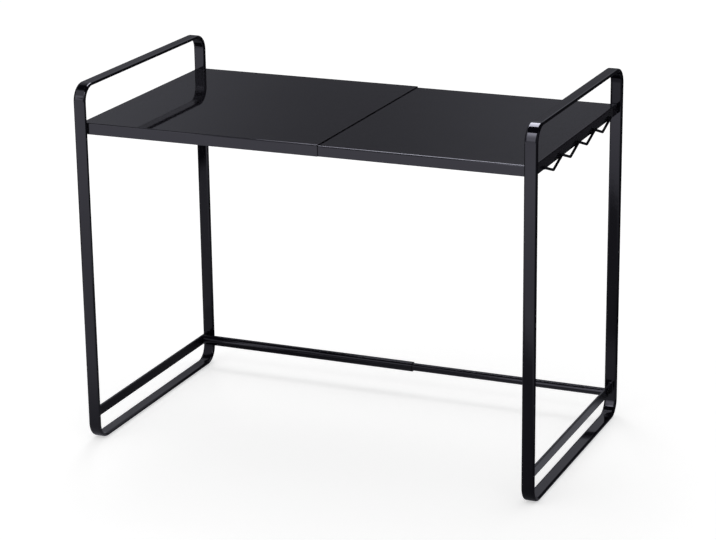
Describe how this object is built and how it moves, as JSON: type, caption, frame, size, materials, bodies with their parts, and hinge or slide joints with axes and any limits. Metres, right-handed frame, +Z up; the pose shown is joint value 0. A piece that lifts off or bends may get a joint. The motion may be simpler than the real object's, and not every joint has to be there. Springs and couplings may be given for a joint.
{
  "type": "expandable storage rack",
  "caption": "Freestanding steel rack with looped flat-bar side frames, a telescoping two-part top, a telescoping rear crossbar and a zigzag wire hook rail at one end.",
  "frame": {"origin": "on the floor plane, at the middle of the footprint of the rack as it stands pulled out to full width", "axes": "+X along the width towards the frame with the hook rail, -Y is the front, +Z is up"},
  "size_m": [0.542, 0.3, 0.42],
  "materials": {
    "gloss_black_paint": "smooth gloss black paint on steel",
    "black_screw": "black oxide steel",
    "zinc_steel": "bright zinc plate",
    "black_nylon": "moulded nylon, matt"
  },
  "bodies": {
    "left_half": {"left_side_frame": "gloss_black_paint", "left_side_bar": "gloss_black_paint", "outer_board": "gloss_black_paint", "crossbar_outer_tube": "gloss_black_paint", "outer_tube_insert": "zinc_steel", "crossbar_bolt_left": "black_screw", "left_front_screw_lower": "black_screw", "left_front_screw_upper": "black_screw", "left_rear_screw_lower": "black_screw", "left_rear_screw_upper": "black_screw"},
    "right_half": {"right_side_frame": "gloss_black_paint", "right_side_bar": "gloss_black_paint", "inner_board": "gloss_black_paint", "crossbar_inner_tube": "gloss_black_paint", "inner_tube_insert": "zinc_steel", "inner_tube_glide": "black_nylon", "crossbar_bolt_right": "black_screw", "right_front_screw_lower": "black_screw", "right_front_screw_upper": "black_screw", "right_rear_screw_lower": "black_screw", "right_rear_screw_upper": "black_screw", "front_leg_spacer": "zinc_steel", "rear_leg_spacer": "zinc_steel", "hook_rail": "gloss_black_paint"}
  },
  "joints": [
    {"name": "width_slide", "type": "slide", "parent": "left_half", "child": "right_half", "axis": [1, 0, 0], "range_m": [-0.232, 0]}
  ]
}
